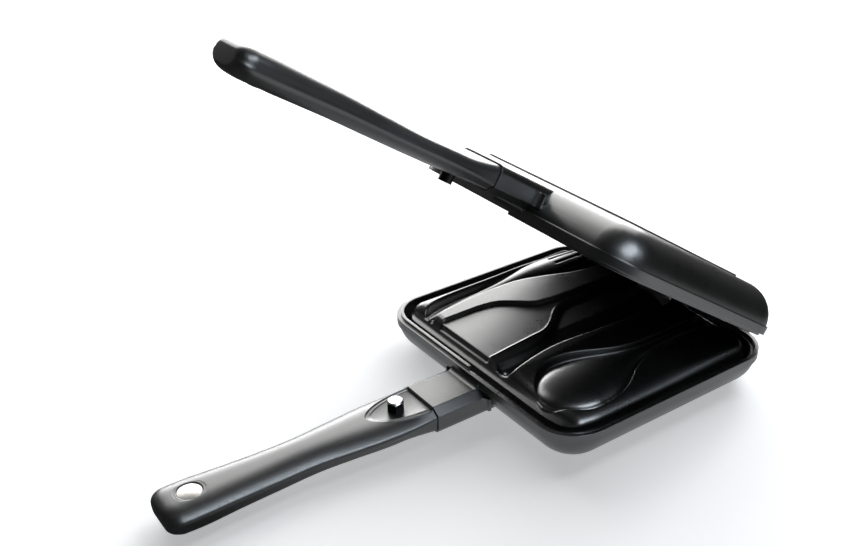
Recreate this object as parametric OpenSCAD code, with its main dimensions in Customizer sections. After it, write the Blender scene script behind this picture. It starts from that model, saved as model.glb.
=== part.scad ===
// Hinged double pie iron: two cast pans with long grips that close on each other.
// Each pan carries a relief plate that shapes dough into a fork, a knife and a spoon.
// X runs from the grips (-X) to the hinges (+X), Y runs along the hinge line, Z is up.
// The origin is on the flat foot of the lower pan, below the centre of its rim.

/* [Pan] */
// Length of the rim along the handle direction
pan_len = 160; // [150:1:200]
// Width of the rim along the hinge line
pan_wid = 178; // [168:1:220]
// Radius of the rim corners seen from above
corner_r = 24; // [21:0.5:30]
// Height of the rim plane above the foot
half_depth = 24; // [23:0.5:32]
// Radius of the round edge between wall and base
edge_r = 20; // [16:0.5:21]
// Wall thickness of the casting
wall_t = 3.4; // [2.6:0.1:4.5]
// Floor thickness of the casting
floor_t = 3; // [2.4:0.1:4]
// Height of the proud band below the rim
band_h = 5; // [3:0.5:7]
// How far the band stands out from the wall
band_proud = 1; // [0.4:0.1:1.6]
// Height of the locating lip on half of the rim
lip_h = 1.5; // [0.8:0.1:2.2]
// Width of the plain outer land of the rim
land_w = 2.2; // [1.6:0.1:2.8]
// Running gap between the lip and the rebate of the other half
lip_gap = 0.3; // [0.2:0.05:0.6]

/* [Foot] */
// Thickness of the bonded steel foot plate
foot_t = 1.6; // [1.2:0.1:3]
// How far the foot plate stands below the casting
foot_proud = 1; // [0.5:0.1:1.1]
// Distance from the rim edge to the foot plate along X
foot_inset_x = 22; // [22:0.5:40]
// Distance from the rim edge to the foot plate along Y
foot_inset_y = 28; // [22:0.5:40]
// Corner radius of the foot plate
foot_r = 9; // [5:0.5:20]
// Gap round the foot plate in its recess
foot_gap = 0.15; // [0.05:0.05:0.5]

/* [Relief plates] */
// Gap between a relief plate and the pan wall
plate_gap = 0.3; // [0.2:0.1:1]
// Thickness of the flange round each relief plate
flange_t = 3; // [2:0.5:4]
// Depth of the channel floor of the lower plate below the rim
channel_depth = 8; // [6:0.5:9]
// Width of the channel round the raised block
channel_w = 5.6; // [5:0.2:9]
// Radius of the top edge of the raised block
block_edge_r = 5; // [3:0.5:8]
// Height of the banks between the moulds above the rim
bank_h = 5.5; // [4.5:0.25:7]
// Depth of the flat panel below the banks
panel_depth = 2.5; // [1:0.25:3.5]
// Depth of the knife's mould below the banks
knife_depth = 3.5; // [1.5:0.25:4.5]
// Depth of the fork's and the spoon's moulds below the banks
mold_depth = 6; // [4:0.25:7]
// Thickness of metal under the moulds
plate_t = 3; // [2.2:0.1:4]
// Thickness of the side walls of the raised block
block_wall = 5; // [4:0.5:7]
// Height of dough between the closed plates
dough_h = 2.5; // [2:0.25:5]
// Thickness of the upper plate's slab
slab_t = 4; // [3.2:0.2:5]
// Depth of the moulds in the upper plate
upper_mold_depth = 1.6; // [1:0.2:2]
// Height of the pressing rib of the upper plate above its slab
rib_h = 7; // [3:0.5:7]
// Width of the pressing rib
rib_w = 2.4; // [1.6:0.2:3]

/* [Plate screws] */
// Radius of the screw threads that hold a relief plate
plate_screw_r = 2; // [1.5:0.1:2.5]
// Radius of the screw heads
plate_screw_head_r = 3.4; // [2.8:0.1:3.8]
// Height of the screw heads
plate_screw_head_h = 2.2; // [1.6:0.1:2.4]
// Radius of the bosses that carry a relief plate
boss_r = 5.5; // [4.5:0.5:7]
// Distance of the bosses from the pan's centre along X
boss_x = 50; // [40:1:52]
// Distance of the bosses from the pan's centre along Y
boss_y = 60; // [45:1:61]
// Depth of the threaded holes in a relief plate
thread_depth = 5; // [3:0.5:5]

/* [Neck and grip] */
// Length of the cast neck, from the rim edge to the grip
neck_len = 31; // [24:1:45]
// Width of the neck
neck_w = 35.4; // [30:0.2:40]
// Distance of the neck's flat inner face below the rim
neck_in = 5.2; // [4.4:0.2:7]
// Distance of the neck's outer face below the rim
neck_out = 20.9; // [19:0.1:22]
// Width of the bevel on the neck's inner edges
neck_bevel_w = 5.2; // [2:0.2:7]
// Height of the bevel on the neck's inner edges
neck_bevel_h = 3.7; // [2:0.1:5]
// Radius of the neck's outer edges
neck_edge_r = 4; // [2:0.5:6]
// Radius of the fillets where the neck meets the pan
neck_fillet_r = 3.5; // [2:0.5:4]
// Thickness of the gasket between neck and grip
gasket_t = 0.8; // [0.5:0.1:2]
// Length of each grip
grip_len = 154; // [140:1:200]
// Half width of the grip at its swelling, its waist and its end
grip_half_w = [18.3, 14.5, 16.4]; // [13:0.1:20]
// Distance of the grip's inner face below the rim, at its waist and at its end
grip_in = [4.4, 3.6]; // [3:0.1:7]
// Distance of the grip's outer face below the rim, at the waist and at the end
grip_out = [16.7, 18.5]; // [16:0.1:20]

/* [Tang] */
// Width of the steel tang
tang_w = 14; // [10:0.5:18]
// Thickness of the steel tang
tang_t = 4; // [3:0.5:4.5]
// Depth of the tang in the neck
tang_root = 22; // [15:1:24]
// Gap round the tang inside the grip
tang_gap = 0.15; // [0.1:0.05:0.4]

/* [Catch and end screws] */
// Distance from the rim edge to the catch
catch_at = 47.4; // [42:0.2:52]
// Distance between the flats of the hexagon screw
hex_flats = 9; // [7:0.1:10.5]
// Height of the hexagon head
hex_h = 6.7; // [5:0.1:7]
// Radius of the magnet's holder
magnet_cup_r = 3.7; // [3.2:0.1:5]
// Wall thickness of the magnet's holder
cup_wall = 0.8; // [0.6:0.1:1.2]
// Thickness of the magnet
magnet_t = 3; // [2:0.1:4]
// Air gap between hexagon head and magnet when closed
catch_gap = 0.6; // [0.3:0.1:1]
// Distance of the floor round the catch below the rim
leaf_floor_in = 7; // [6.6:0.1:7.4]
// Length of the leaf shaped recess, from the neck to its tip
leaf_len = 32; // [26:0.5:38]
// Half width of the leaf shaped recess at the neck
leaf_half_w = 13; // [10:0.5:13.5]
// Width of the step inside the recess
leaf_step_w = 2; // [1:0.25:3]
// Depth of the floor below that step
leaf_step_h = 0.8; // [0.4:0.1:1.2]
// Distance from the end of the grip to the end screw
end_screw_at = 17.3; // [14:0.1:30]
// Radius of the end screw's head
end_screw_r = 6.3; // [5:0.1:8]
// Height of the end screw's head at its edge
end_head_h = 0.7; // [0.4:0.1:1.2]
// Rise of the dome on the end screw's head
end_dome_h = 0.9; // [0.4:0.1:1.4]
// Radius of the screw shanks in the tangs
shank_r = 2.4; // [1.8:0.1:3]
// Gap round the screw heads
head_gap = 0.3; // [0.15:0.05:0.6]
// Gap round the screw shanks in their clearance holes
hole_gap = 0.1; // [0.05:0.05:0.3]
// Width of the chamfer on the hexagon's top
hex_chamfer = 0.6; // [0.2:0.1:1]
// Depth of the end screw's seat below the rim
end_seat_in = 5; // [4.5:0.1:6]
// Width of the shallow ring round the end screw
end_ring_w = 1.8; // [1:0.1:3]

/* [Hinges] */
// Distance of the hinge axis from the rim edge
hinge_out = 5.2; // [5:0.1:8]
// Distance of each hinge from the middle
hinge_y = 54; // [40:1:55]
// Radius of the knuckles
knuckle_r = 4.2; // [3.8:0.1:4.4]
// Length of the upper pan's knuckle
knuckle_len = 10; // [8:0.5:14]
// Length of each lower lug
lug_len = 5; // [4:0.5:8]
// Distance of the hinge arms from the rim plane
arm_gap = 0.3; // [0.2:0.1:0.6]
// Radius of the hinge pins
pin_r = 1.8; // [1.4:0.1:2.2]
// Radial clearance of the pins in the upper knuckles
pin_clearance = 0.05; // [0.02:0.01:0.1]
// Thickness of the friction washers
washer_t = 0.5; // [0.3:0.1:1]
// Side clearance of the friction washers
washer_gap = 0.1; // [0.05:0.05:0.3]
// Radius of the pin heads
pin_head_r = 3; // [2.6:0.1:3.6]
// Height of the pin heads
pin_head_h = 1.4; // [1:0.1:2]
// How far the upper pan stands open as drawn
rest_angle = 34; // [10:1:100]

/* [Hidden] */
$fn = 64;
eps = 0.01;

// Heights in the frame of one half: the foot at 0, the rim plane at half_depth
rim_z = half_depth;
shell_z = foot_proud;
floor_z = shell_z + floor_t;
cavity_inset = band_proud + wall_t;
wall_len = pan_len - 2 * band_proud;
wall_wid = pan_wid - 2 * band_proud;
wall_r = corner_r - band_proud;
cavity_len = pan_len - 2 * cavity_inset;
cavity_wid = pan_wid - 2 * cavity_inset;
cavity_r = corner_r - cavity_inset;
cavity_edge_r = edge_r - wall_t;
foot_len = pan_len - 2 * foot_inset_x;
foot_wid = pan_wid - 2 * foot_inset_y;

// Lower relief plate
flange_top = rim_z - channel_depth;
lower_seat = flange_top - flange_t;
block_len = cavity_len - 2 * channel_w;
block_wid = cavity_wid - 2 * channel_w;
block_r = cavity_r - channel_w;
bank_z = rim_z + bank_h;
panel_z = bank_z - panel_depth;
mold_floor = bank_z - mold_depth;
block_ceiling = mold_floor - plate_t;

// Upper relief plate, in its own half's frame, where the lower plate reaches down from above
slab_top = rim_z - bank_h - dough_h;
upper_seat = slab_top - slab_t;

// Neck, grip and tang
neck_end = -pan_len / 2 - neck_len;
grip_start = neck_end - gasket_t;
grip_end = grip_start - grip_len;
tang_mid = rim_z - (grip_in[0] + grip_out[0]) / 2;
catch_x = -pan_len / 2 - catch_at;
end_screw_x = grip_end + end_screw_at;
leaf_floor = rim_z - leaf_floor_in;
hex_top = leaf_floor + hex_h;
cup_face = 2 * rim_z - hex_top - catch_gap;
end_face = rim_z - end_seat_in;

// Hinges
hinge_x = pan_len / 2 + hinge_out;
side_gap = washer_t + 2 * washer_gap;
lug_mid = knuckle_len / 2 + side_gap + lug_len / 2;
pin_half_len = knuckle_len / 2 + side_gap + lug_len;

cast_black = [0.09, 0.09, 0.10];
grip_black = [0.13, 0.13, 0.14];
steel = [0.72, 0.72, 0.73];
dark_steel = [0.18, 0.18, 0.19];
rubber_black = [0.04, 0.04, 0.04];

// ---- placing ----

// Turns something drawn as a lower half over, onto the closed upper half
module turned_over() {
    translate([0, 0, rim_z]) rotate([180, 0, 0]) translate([0, 0, -rim_z]) children();
}

// Swings the closed upper half up about the hinge axis
module swung_open() {
    translate([hinge_x, 0, rim_z]) rotate([0, rest_angle, 0]) translate([-hinge_x, 0, -rim_z])
        children();
}

module upper_half() {
    swung_open() turned_over() children();
}

// ---- shared shapes ----

// Rectangle with round corners, extruded from z1 to z2
module round_block(len, wid, r, z1, z2) {
    translate([0, 0, z1]) linear_extrude(z2 - z1) {
        square([len - 2 * r, wid], center = true);
        square([len, wid - 2 * r], center = true);
        for (sx = [-1, 1], sy = [-1, 1])
            translate([sx * (len / 2 - r), sy * (wid / 2 - r)]) circle(r);
    }
}

// Cross section of a tub: flat on top, with round lower corners
module tub_section(wid, h, r) {
    translate([-wid / 2, r]) square([wid, h - r]);
    intersection() {
        translate([-wid / 2, 0]) square([wid, r]);
        union() {
            translate([-wid / 2 + r, 0]) square([wid - 2 * r, r]);
            for (s = [-1, 1]) translate([s * (wid / 2 - r), r]) circle(r);
        }
    }
}

// Tub with round corners and a round edge between its walls and its base
module tub(len, wid, corner, edge, z1, z2) {
    h = z2 - z1;
    straight_x = len - 2 * corner;
    straight_y = wid - 2 * corner;
    translate([0, 0, z1]) {
        translate([0, straight_y / 2, 0]) rotate([90, 0, 0])
            linear_extrude(straight_y) tub_section(len, h, edge);
        translate([-straight_x / 2, 0, 0]) rotate([90, 0, 90])
            linear_extrude(straight_x) tub_section(wid, h, edge);
        for (sx = [-1, 1], sy = [-1, 1])
            translate([sx * straight_x / 2, sy * straight_y / 2, 0])
                rotate_extrude() intersection() {
                    tub_section(2 * corner, h, edge);
                    square([corner, h]);
                }
    }
}

// Ring between two insets from the rim edge, from z1 to z2
module rim_ring(inset1, inset2, z1, z2) {
    difference() {
        round_block(pan_len - 2 * inset1, pan_wid - 2 * inset1, corner_r - inset1, z1, z2);
        round_block(pan_len - 2 * inset2, pan_wid - 2 * inset2, corner_r - inset2, z1 - 1, z2 + 1);
    }
}

module half_space(side) {
    translate([0, side * pan_wid, rim_z]) cube([2 * pan_len, 2 * pan_wid, 4 * half_depth], center = true);
}

module at_bosses() {
    for (sx = [-1, 1], sy = [-1, 1]) translate([sx * boss_x, sy * boss_y, 0]) children();
}

// ---- castings ----

// Shell of one pan: tub, band, lip on the far half and rebate on the near half
module pan_shell(seat) {
    difference() {
        union() {
            tub(wall_len, wall_wid, wall_r, edge_r, shell_z, rim_z);
            round_block(pan_len, pan_wid, corner_r, rim_z - band_h, rim_z);
            neck();
        }
        tub(cavity_len, cavity_wid, cavity_r, cavity_edge_r, floor_z, rim_z + 1);
        intersection() {
            rim_ring(land_w, cavity_inset + 1, rim_z - lip_h - lip_gap, rim_z + 1);
            half_space(-1);
        }
        round_block(foot_len + 2 * foot_gap, foot_wid + 2 * foot_gap, foot_r + foot_gap, -1, foot_t);
        at_bosses() translate([0, 0, foot_t - eps])
            cylinder(r = plate_screw_head_r + head_gap, h = plate_screw_head_h + eps);
        at_bosses() cylinder(r = plate_screw_r + hole_gap, h = seat);
        translate([neck_end - eps, -tang_w / 2, tang_mid - tang_t / 2])
            cube([tang_root + eps, tang_w, tang_t]);
    }
    intersection() {
        rim_ring(land_w + lip_gap, cavity_inset, rim_z - 0.5, rim_z + lip_h);
        translate([0, lip_gap, 0]) half_space(1);
    }
    pan_bosses(seat);
}

// Bosses between the floor and the relief plate, drilled for the plate screws
module pan_bosses(seat) {
    at_bosses() difference() {
        translate([0, 0, floor_z - 0.5]) cylinder(r = boss_r, h = seat - floor_z + 0.5);
        cylinder(r = plate_screw_r + hole_gap, h = seat + 1);
        translate([0, 0, foot_t - eps])
            cylinder(r = plate_screw_head_r + head_gap, h = plate_screw_head_h + eps);
    }
}

// Outline of the neck across its length: bevelled inside, rounded outside
module neck_section(inset = 0) {
    w = neck_w / 2 - inset;
    top = rim_z - neck_in - inset;
    low = rim_z - neck_out + inset;
    r = neck_edge_r;
    polygon([[-w, low + r], [w, low + r], [w, top - neck_bevel_h], [w - neck_bevel_w, top],
             [-w + neck_bevel_w, top], [-w, top - neck_bevel_h]]);
    translate([-w + r, low]) square([2 * (w - r), r + eps]);
    for (s = [-1, 1]) translate([s * (w - r), low + r]) circle(r);
}

module along_x(x1, x2) {
    translate([x1, 0, 0]) rotate([90, 0, 90]) linear_extrude(x2 - x1) children();
}

// Cast neck with hollow fillets into the pan: one over its flat face, one at each side
module neck() {
    root_x = -pan_len / 2 + wall_t;
    r = neck_fillet_r;
    flat_w = neck_w / 2 - neck_bevel_w;
    flat_z = rim_z - neck_in;
    side_low = rim_z - neck_out + neck_edge_r;
    side_h = flat_z - neck_bevel_h - side_low;
    along_x(neck_end, -pan_len / 2 + edge_r) neck_section();
    difference() {
        translate([-pan_len / 2 - r, -flat_w, flat_z - 1]) cube([root_x + pan_len / 2 + r, 2 * flat_w, r + 1]);
        translate([-pan_len / 2 - r, -pan_wid / 2, flat_z + r])
            rotate([-90, 0, 0]) cylinder(r = r, h = pan_wid);
    }
    for (m = [0, 1]) mirror([0, m, 0]) translate([-pan_len / 2 + band_proud - r, neck_w / 2, side_low])
        difference() {
            translate([0, -1, 0]) cube([r + wall_t / 2, r + 1, side_h]);
            translate([0, r, -1]) cylinder(r = r, h = side_h + 2);
        }
}

// Lug or knuckle of a hinge; side is 1 when its arm lies above the rim plane
module hinge_leaf(y1, y2, side, bore_r) {
    translate([0, y2, rim_z]) rotate([90, 0, 0]) difference() {
        union() {
            translate([hinge_x, 0, 0]) cylinder(r = knuckle_r, h = y2 - y1);
            linear_extrude(y2 - y1) polygon([
                [hinge_x - 2, -side * arm_gap], [hinge_x - 2, -side * (knuckle_r - 0.4)],
                [pan_len / 2 - 1, -side * band_h], [pan_len / 2 - 1, -side * arm_gap]]);
        }
        translate([hinge_x, 0, -1]) cylinder(r = bore_r, h = y2 - y1 + 2);
    }
}

module lower_pan() {
    color(cast_black) {
        pan_shell(lower_seat);
        for (hy = [-hinge_y, hinge_y], s = [-1, 1])
            hinge_leaf(hy + s * lug_mid - lug_len / 2, hy + s * lug_mid + lug_len / 2, 1, pin_r);
    }
}

module upper_pan() {
    color(cast_black) upper_half() {
        pan_shell(upper_seat);
        for (hy = [-hinge_y, hinge_y])
            hinge_leaf(hy - knuckle_len / 2, hy + knuckle_len / 2, 1, pin_r + pin_clearance);
    }
}

// Flat steel plate bonded under one pan
module foot_plate() {
    round_block(foot_len, foot_wid, foot_r, 0, foot_t);
}

module lower_foot_plate() {
    color(cast_black) foot_plate();
}

module upper_foot_plate() {
    color(cast_black) upper_half() foot_plate();
}

// ---- relief ----

// Outlines along X are given by stations [x, y, width] and swing smoothly from one to the next
outline_steps = 6;
function swing(path, k, t, item) =
    path[k][item] + (path[k + 1][item] - path[k][item]) * t * t * (3 - 2 * t);
function side_points(path, side, grow) =
    [for (k = [0:len(path) - 2], j = [0:outline_steps - 1]) let (t = j / outline_steps)
        [path[k][0] + (path[k + 1][0] - path[k][0]) * t,
         swing(path, k, t, 1) + side * (swing(path, k, t, 2) / 2 + grow)]];
function round_end(p, a1, a2, grow) =
    [for (a = [a1:15:a2]) [p[0] + (p[2] / 2 + grow) * cos(a), p[1] + (p[2] / 2 + grow) * sin(a)]];
function reversed(list) = [for (k = [len(list) - 1:-1:0]) list[k]];

module path_2d(path, grow = 0) {
    polygon(concat(round_end(path[0], 105, 255, grow), side_points(path, -1, grow),
                   round_end(path[len(path) - 1], -90, 90, grow),
                   reversed(side_points(path, 1, grow))));
}

// Where the moulds lie, seen from above with the lower pan's handle at the left
fork_y = 60;
fork_mould = [[-58, fork_y, 17], [-10, fork_y, 17], [16, fork_y - 2, 33], [47, fork_y - 3, 36]];
fork_handle = [[-58, fork_y, 8], [-6, fork_y + 2, 7], [16, fork_y, 20], [36, fork_y, 24]];
tine_from = 36;
tine_to = 58;
tine_pitch = 6;
tine_w = 4.4;
knife = [[-57, -6, 20], [-18, -4, 22], [14, 7, 38], [48, 7, 38]];
spoon_y = -48;
spoon_mould = [[-44, spoon_y - 5, 36], [-24, spoon_y - 2, 30], [6, spoon_y, 16], [56, spoon_y + 2, 16]];
spoon_handle = [[-4, spoon_y - 1, 11], [12, spoon_y, 8], [56, spoon_y + 2, 8]];
bowl_at = [-40, -52];
bowl_r = 15.5;
bowl_rise = 5.2;
// The spoon's handle is a stack of two steps: how far each is drawn in, and its height
handle_steps = [[0, 2.1], [0.9, 2.9]];
panel = [[-62, 8], [-62, 48], [-26, 47], [4, 30], [0, 8]];
blade_gap = 2;

// Rod lying along X that stands rise above base_z and is wid wide there: the crown of a handle
module crowned_rod(x1, x2, y, wid, base_z, rise) {
    r = (wid * wid / 4 + rise * rise) / (2 * rise);
    translate([x1, y, base_z + rise - r]) rotate([0, 90, 0]) cylinder(r = r, h = x2 - x1);
}

// Fork that stands up in its mould, with four tines towards the hinges
module fork_core() {
    tines_w = 4 * tine_w + 3 * (tine_pitch - tine_w);
    intersection() {
        union() {
            crowned_rod(fork_handle[0][0] - 6, fork_handle[2][0], fork_y, 12, mold_floor, mold_depth - 3);
            crowned_rod(fork_handle[1][0] + 12, tine_to, fork_y, tines_w + 6, mold_floor, mold_depth - 2);
        }
        translate([0, 0, mold_floor - eps]) linear_extrude(rim_z) {
            path_2d(fork_handle);
            for (k = [-1.5:1:1.5])
                translate([tine_from - 2, fork_y + k * tine_pitch - tine_w / 2])
                    square([tine_to - tine_from + 2, tine_w]);
        }
    }
}

// Spoon that stands up in its mould: a domed bowl towards the grips and a handle
module spoon_core() {
    dome_r = (bowl_r * bowl_r + bowl_rise * bowl_rise) / (2 * bowl_rise);
    intersection() {
        translate([bowl_at[0], bowl_at[1], mold_floor + bowl_rise - dome_r]) sphere(dome_r);
        translate([bowl_at[0], bowl_at[1], mold_floor - 0.5]) cylinder(r = bowl_r + 2, h = rim_z);
    }
    for (step = handle_steps)
        translate([0, 0, mold_floor - 0.5]) linear_extrude(step[1] + 0.5) path_2d(spoon_handle, -step[0]);
}

// Flat plate from z1 to z2 whose lower edge clears the round edge of the cavity
module seated_plate(z1, z2) {
    inset = cavity_edge_r - sqrt(pow(cavity_edge_r, 2) - pow(floor_z + cavity_edge_r - z1, 2)) + plate_gap;
    round_block(cavity_len - 2 * inset, cavity_wid - 2 * inset, cavity_r - inset, z1, z2);
}

// Raised block with banks, panel and the three moulds, hollow from below
module lower_mold_plate() {
    color(cast_black) difference() {
        union() {
            seated_plate(lower_seat, flange_top);
            difference() {
                translate([0, 0, bank_z + lower_seat]) mirror([0, 0, 1])
                    tub(block_len, block_wid, block_r, block_edge_r, lower_seat, bank_z);
                translate([0, 0, panel_z]) linear_extrude(rim_z) polygon(panel);
                translate([0, 0, bank_z - knife_depth]) linear_extrude(rim_z) path_2d(knife);
                translate([0, 0, mold_floor]) linear_extrude(rim_z) path_2d(fork_mould);
                translate([0, 0, mold_floor]) linear_extrude(rim_z) path_2d(spoon_mould);
            }
            fork_core();
            spoon_core();
        }
        difference() {
            round_block(block_len - 2 * block_wall, block_wid - 2 * block_wall,
                        max(block_r - block_wall, 2), lower_seat - 1, block_ceiling);
            at_bosses() cylinder(r = boss_r + 1, h = rim_z);
        }
        at_bosses() translate([0, 0, lower_seat - 1]) cylinder(r = plate_screw_r, h = thread_depth + 1);
    }
}

// Slab with the facing moulds and a rib that presses the edge of the dough
module upper_mold_plate() {
    rib_inset = cavity_inset + (channel_w - rib_w) / 2;
    color(cast_black) upper_half() difference() {
        union() {
            seated_plate(upper_seat, slab_top);
            rim_ring(rib_inset, rib_inset + rib_w, slab_top - eps, slab_top + rib_h);
        }
        translate([0, 0, slab_top - upper_mold_depth]) linear_extrude(rim_z) mirror([0, 1]) {
            path_2d(fork_handle, 1);
            path_2d(knife, -blade_gap);
            path_2d(spoon_handle, 1);
            translate(bowl_at) circle(bowl_r);
        }
        at_bosses() translate([0, 0, upper_seat - 1])
            cylinder(r = plate_screw_r, h = slab_t - upper_mold_depth);
    }
}

// ---- screws of the relief plates ----

module plate_screws(seat, reach) {
    at_bosses() {
        translate([0, 0, foot_t]) cylinder(r = plate_screw_head_r, h = plate_screw_head_h);
        translate([0, 0, foot_t + plate_screw_head_h - eps])
            cylinder(r = plate_screw_r, h = seat + reach - foot_t - plate_screw_head_h + eps);
    }
}

module lower_plate_screws() {
    color(steel) plate_screws(lower_seat, thread_depth - 0.5);
}

module upper_plate_screws() {
    color(steel) upper_half() plate_screws(upper_seat, slab_t - upper_mold_depth - 1.2);
}

// ---- tang, gasket, grip ----

module tang() {
    difference() {
        union() {
            translate([end_screw_x, -tang_w / 2, tang_mid - tang_t / 2])
                cube([neck_end + tang_root - end_screw_x, tang_w, tang_t]);
            translate([end_screw_x, 0, tang_mid - tang_t / 2]) cylinder(r = tang_w / 2, h = tang_t);
        }
        for (x = [catch_x, end_screw_x]) translate([x, 0, 0]) cylinder(r = shank_r, h = rim_z);
    }
}

module lower_tang() {
    color(dark_steel) tang();
}

module upper_tang() {
    color(dark_steel) upper_half() tang();
}

module neck_gasket() {
    difference() {
        along_x(grip_start, neck_end) neck_section(0.6);
        translate([grip_start - 1, -tang_w / 2, tang_mid - tang_t / 2])
            cube([gasket_t + 2, tang_w, tang_t]);
    }
}

module lower_neck_gasket() {
    color(rubber_black) neck_gasket();
}

module upper_neck_gasket() {
    color(rubber_black) upper_half() neck_gasket();
}

// Stations along the grip from neck to end: place, half width, inner face, outer face.
// Places run from 0 to 1; the faces are distances below the rim plane.
grip_stations = [
    [0, neck_w / 2, neck_in, neck_out - 1],
    [0.10, grip_half_w[0], neck_in, grip_out[0] + 1],
    [0.20, grip_half_w[0] - 0.2, grip_in[0] + 0.4, grip_out[0] + 0.5],
    [0.33, grip_half_w[1] + 1.9, grip_in[0] + 0.1, grip_out[0]],
    [0.46, grip_half_w[1], grip_in[0], grip_out[0] + 0.7],
    [0.62, grip_half_w[1] + 0.1, grip_in[0], grip_out[1] - 0.2],
    [0.76, grip_half_w[2] - 1.0, grip_in[1] + 0.4, grip_out[1]],
    [0.90, grip_half_w[2], grip_in[1], grip_out[1]],
    [1, grip_half_w[2] - 0.4, grip_in[1] + 0.2, grip_out[1] - 0.5]];

function smooth(t) = t * t * (3 - 2 * t);
function station_index(u, i = 0) =
    i >= len(grip_stations) - 2 || u <= grip_stations[i + 1][0] ? i : station_index(u, i + 1);
function station_at(u) =
    let (i = station_index(u), a = grip_stations[i], b = grip_stations[i + 1],
         t = smooth((u - a[0]) / (b[0] - a[0])))
    [for (k = [1:3]) a[k] + (b[k] - a[k]) * t];

// The end closes like a quarter ellipse over its last stretch
end_round = 8;
function end_shrink(x_in) = x_in >= end_round ? 0 : 1 - sqrt(1 - pow(1 - x_in / end_round, 2));

grip_rings = 26;
ring_points = 28;
// Places of the rings: even along the grip, then closer over the round end
grip_places = concat(
    [for (k = [0:grip_rings - 1]) k / (grip_rings - 1) * (1 - end_round / grip_len)],
    [for (a = [15:15:75]) 1 - end_round / grip_len * (1 - sin(a))],
    [1 - 0.0001]);

function ring_point(u, k) =
    let (s = station_at(u), shrink = end_shrink((1 - u) * grip_len),
         half_w = s[0] - 7 * shrink, half_t = (s[2] - s[1]) / 2 - 3.5 * shrink,
         mid = rim_z - (s[1] + s[2]) / 2, a = 360 * k / ring_points,
         c = cos(a), d = sin(a), power = d > 0 ? 0.45 : 0.72 - 0.12 * u)
    [grip_start - u * grip_len,
     half_w * sign(c) * pow(abs(c), power),
     mid + half_t * sign(d) * pow(abs(d), power)];

module grip_body() {
    rings = len(grip_places);
    points = [for (u = grip_places, k = [0:ring_points - 1]) ring_point(u, k)];
    walls = [for (j = [0:rings - 2], k = [0:ring_points - 1])
        let (a = j * ring_points + k, b = j * ring_points + (k + 1) % ring_points)
        [a, b, b + ring_points, a + ring_points]];
    near_cap = [for (k = [ring_points - 1:-1:0]) k];
    far_cap = [for (k = [0:ring_points - 1]) (rings - 1) * ring_points + k];
    polyhedron(points, concat(walls, [near_cap, far_cap]), convexity = 4);
}

// Pointed outline where two arcs cross, with its widest place at the neck
module leaf_2d(inset) {
    half_len = leaf_len - 2 * inset;
    half_w = leaf_half_w - inset;
    arc_r = (half_len * half_len + half_w * half_w) / (2 * half_w);
    intersection() {
        translate([0, arc_r - half_w]) circle(arc_r, $fn = 128);
        translate([0, half_w - arc_r]) circle(arc_r, $fn = 128);
    }
}

module grip() {
    difference() {
        grip_body();
        translate([grip_start, 0, leaf_floor + leaf_step_h]) linear_extrude(rim_z) leaf_2d(0);
        translate([grip_start, 0, leaf_floor]) linear_extrude(rim_z) leaf_2d(leaf_step_w);
        translate([catch_x, 0, tang_mid]) cylinder(r = shank_r + hole_gap, h = rim_z);
        translate([end_screw_x, 0, tang_mid]) cylinder(r = shank_r + hole_gap, h = rim_z);
        translate([end_screw_x, 0, end_face]) cylinder(r = end_screw_r + head_gap, h = rim_z);
        translate([end_screw_x, 0, end_face + end_head_h])
            cylinder(r = end_screw_r + head_gap + end_ring_w, h = rim_z);
        translate([end_screw_x, -tang_w / 2 - tang_gap, tang_mid - tang_t / 2 - tang_gap])
            cube([grip_start + 1 - end_screw_x, tang_w + 2 * tang_gap, tang_t + 2 * tang_gap]);
        translate([end_screw_x, 0, tang_mid - tang_t / 2 - tang_gap])
            cylinder(r = tang_w / 2 + tang_gap, h = tang_t + 2 * tang_gap);
    }
}

module lower_grip() {
    color(grip_black) grip();
}

module upper_grip() {
    color(grip_black) upper_half() grip();
}

// ---- catch and end screws ----

// Hexagon head that the magnet holds; its shank clamps the grip on the tang
module catch_screw() {
    color(steel) translate([catch_x, 0, 0]) {
        translate([0, 0, tang_mid - tang_t / 2]) cylinder(r = shank_r, h = leaf_floor - tang_mid + tang_t / 2 + eps);
        intersection() {
            translate([0, 0, leaf_floor]) cylinder(r = hex_flats / sqrt(3), h = hex_h, $fn = 6);
            translate([0, 0, leaf_floor])
                cylinder(r1 = hex_flats / 2 - hex_chamfer + hex_h, r2 = hex_flats / 2 - hex_chamfer, h = hex_h);
        }
    }
}

// Domed head set in the grip's end, with a shank in the tang
module end_screw() {
    dome_r = (end_screw_r * end_screw_r + end_dome_h * end_dome_h) / (2 * end_dome_h);
    translate([end_screw_x, 0, 0]) {
        translate([0, 0, tang_mid - tang_t / 2]) cylinder(r = shank_r, h = end_face - tang_mid + tang_t / 2 + eps);
        intersection() {
            translate([0, 0, end_face]) cylinder(r = end_screw_r, h = 3);
            translate([0, 0, end_face + end_head_h + end_dome_h - dome_r]) sphere(dome_r, $fn = 96);
        }
    }
}

module lower_end_screw() {
    color(steel) end_screw();
}

module upper_end_screw() {
    color(steel) upper_half() end_screw();
}

// Turned holder of the catch magnet; its shank clamps the upper grip on the tang
module magnet_holder() {
    color(dark_steel) upper_half() translate([catch_x, 0, 0]) {
        translate([0, 0, tang_mid - tang_t / 2])
            cylinder(r = shank_r, h = leaf_floor - tang_mid + tang_t / 2 + eps);
        difference() {
            translate([0, 0, leaf_floor]) cylinder(r = magnet_cup_r, h = cup_face - leaf_floor);
            translate([0, 0, cup_face - magnet_t]) cylinder(r = magnet_cup_r - cup_wall, h = rim_z);
        }
    }
}

module catch_magnet() {
    color(steel) upper_half() translate([catch_x, 0, cup_face - magnet_t])
        cylinder(r = magnet_cup_r - cup_wall, h = magnet_t);
}

// ---- hinge hardware ----

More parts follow.
